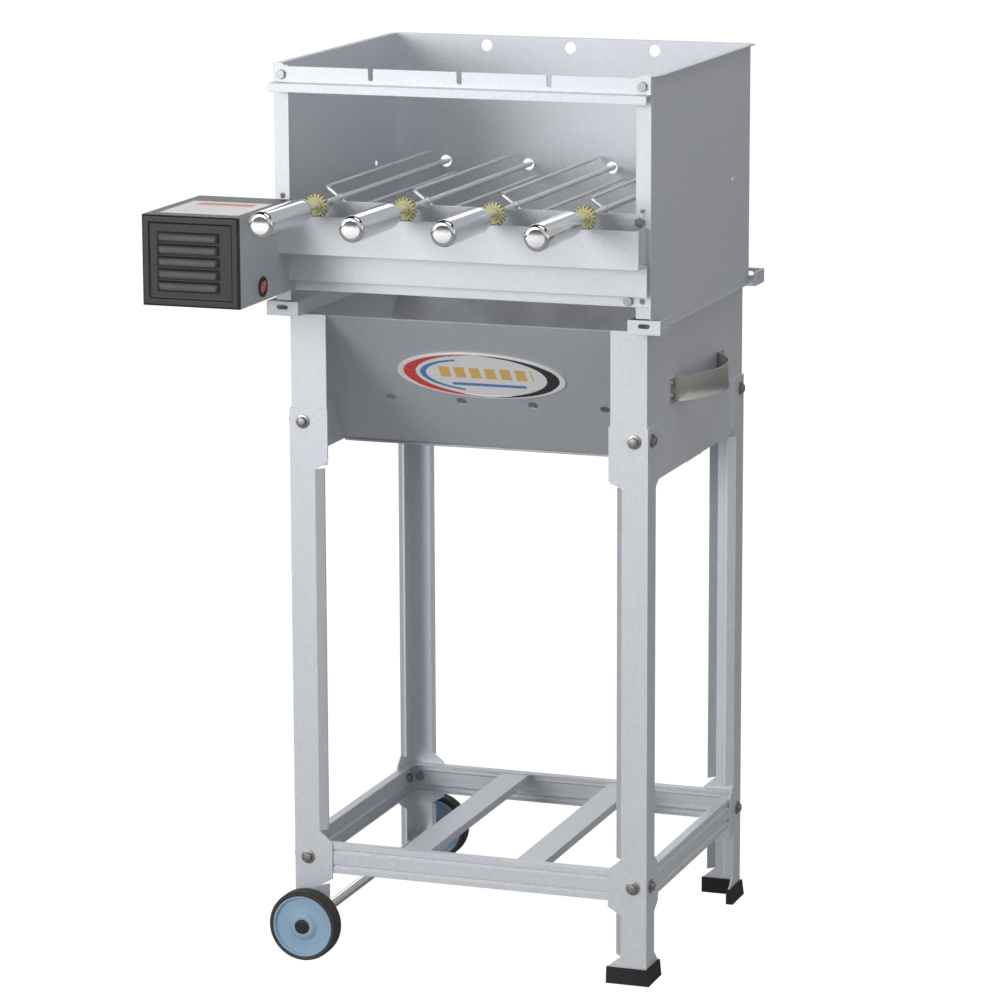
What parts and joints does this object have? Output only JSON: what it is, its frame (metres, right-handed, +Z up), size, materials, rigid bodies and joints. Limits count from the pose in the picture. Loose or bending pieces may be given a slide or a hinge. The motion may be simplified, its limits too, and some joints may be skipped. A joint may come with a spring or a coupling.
{
  "type": "rotisserie spit roaster",
  "caption": "Upright galvanised charcoal roaster on a wheeled angle-leg stand, with an open-topped hood, worm-driven twin-prong spits, a motor box and a slatted shelf.",
  "frame": {"origin": "bottom centre of the bounding box, on the floor", "axes": "+X to the user's right, +Y to the back (the spits point this way), +Z up"},
  "size_m": [0.589, 0.667, 1.0904],
  "materials": {
    "galvanised_steel": "satin galvanised sheet",
    "grey_box_steel": "light grey",
    "zinc_fasteners": "bright zinc",
    "black_rubber": "matt",
    "tyre_rubber": "matt",
    "pale_blue_plastic": "satin",
    "black_plastic": "satin",
    "black_painted": "fine textured black",
    "badge_plate": "brushed",
    "cast_grate": "rough",
    "stainless_strap": "polished",
    "bronze_bush": "dull",
    "turned_steel": "turned",
    "spit_steel": "bright",
    "chrome_handle": "bright chrome",
    "gear_brass": "satin yellow",
    "motor_metal": "cast",
    "label_film": "matt white",
    "red_plastic": "gloss"
  },
  "bodies": {
    "stand": {"ash_tray": "galvanised_steel", "axle_caps": "black_plastic", "beam_end_plate": "galvanised_steel", "beam_front_cover": "galvanised_steel", "beam_rear_wall": "galvanised_steel", "box_label": "label_film", "charcoal_grate": "cast_grate", "firebox_back_panel": "galvanised_steel", "firebox_badge": "badge_plate", "firebox_front_panel": "galvanised_steel", "firebox_side_left": "galvanised_steel", "firebox_side_right": "galvanised_steel", "gear_motor": "motor_metal", "handle_rivets": "zinc_fasteners", "hood_back_panel": "galvanised_steel", "hood_bolts": "zinc_fasteners", "hood_side_left": "galvanised_steel", "hood_side_right": "galvanised_steel", "leg_back_left": "galvanised_steel", "leg_back_right": "galvanised_steel", "leg_front_left": "galvanised_steel", "leg_front_right": "galvanised_steel", "louvred_cover": "black_painted", "motor_box_shell": "grey_box_steel", "motor_bracket": "galvanised_steel", "power_inlet": "black_plastic", "rubber_feet": "black_rubber", "shaft_bush": "bronze_bush", "shelf_rail_back": "galvanised_steel", "shelf_rail_front": "galvanised_steel", "shelf_rail_left": "galvanised_steel", "shelf_rail_right": "galvanised_steel", "shelf_slats": "galvanised_steel", "side_handles": "stainless_strap", "stand_bolts": "zinc_fasteners", "support_rail_left": "galvanised_steel", "support_rail_right": "galvanised_steel", "switch_body": "black_plastic", "top_slotted_rail": "galvanised_steel", "wheel_axle": "zinc_fasteners"},
    "drive": {"drive_shaft": "turned_steel", "drive_worms": "turned_steel"},
    "front_wheel": {"wheel_hub_front": "pale_blue_plastic", "wheel_tyre_front": "tyre_rubber"},
    "back_wheel": {"wheel_hub_back": "pale_blue_plastic", "wheel_tyre_back": "tyre_rubber"},
    "rocker": {"switch_rocker": "red_plastic"},
    "spit_1": {"spit_rod_1": "spit_steel", "spit_gear_1": "gear_brass", "spit_handle_1": "chrome_handle"},
    "spit_2": {"spit_rod_2": "spit_steel", "spit_gear_2": "gear_brass", "spit_handle_2": "chrome_handle"},
    "spit_3": {"spit_rod_3": "spit_steel", "spit_gear_3": "gear_brass", "spit_handle_3": "chrome_handle"},
    "spit_4": {"spit_rod_4": "spit_steel", "spit_gear_4": "gear_brass", "spit_handle_4": "chrome_handle"}
  },
  "joints": [
    {"name": "drive_spin", "type": "hinge", "parent": "stand", "child": "drive", "pos_m": [0.0355, -0.1615, 0.90895], "axis": [1, 0, 0], "continuous": true},
    {"name": "spit_1_spin", "type": "hinge", "parent": "stand", "child": "spit_1", "pos_m": [-0.1295, -0.1615, 0.9285], "axis": [0, 1, 0], "continuous": true},
    {"name": "spit_2_spin", "type": "hinge", "parent": "stand", "child": "spit_2", "pos_m": [-0.0195, -0.1615, 0.9285], "axis": [0, 1, 0], "continuous": true},
    {"name": "spit_3_spin", "type": "hinge", "parent": "stand", "child": "spit_3", "pos_m": [0.0905, -0.1615, 0.9285], "axis": [0, 1, 0], "continuous": true},
    {"name": "spit_4_spin", "type": "hinge", "parent": "stand", "child": "spit_4", "pos_m": [0.2005, -0.1615, 0.9285], "axis": [0, 1, 0], "continuous": true},
    {"name": "front_wheel_roll", "type": "hinge", "parent": "stand", "child": "front_wheel", "pos_m": [-0.1645, -0.1295, 0.0435], "axis": [0, 1, 0], "continuous": true},
    {"name": "back_wheel_roll", "type": "hinge", "parent": "stand", "child": "back_wheel", "pos_m": [-0.1645, 0.3095, 0.0435], "axis": [0, 1, 0], "continuous": true},
    {"name": "rocker_tilt", "type": "hinge", "parent": "stand", "child": "rocker", "pos_m": [-0.1765, -0.2235, 0.84], "axis": [0, 1, 0], "range_deg": [-16, 0]}
  ],
  "couplings": [
    {"joint": "spit_1_spin", "follows": "drive_spin", "ratio": 0.055556},
    {"joint": "spit_2_spin", "follows": "drive_spin", "ratio": 0.055556},
    {"joint": "spit_3_spin", "follows": "drive_spin", "ratio": 0.055556},
    {"joint": "spit_4_spin", "follows": "drive_spin", "ratio": 0.055556}
  ]
}
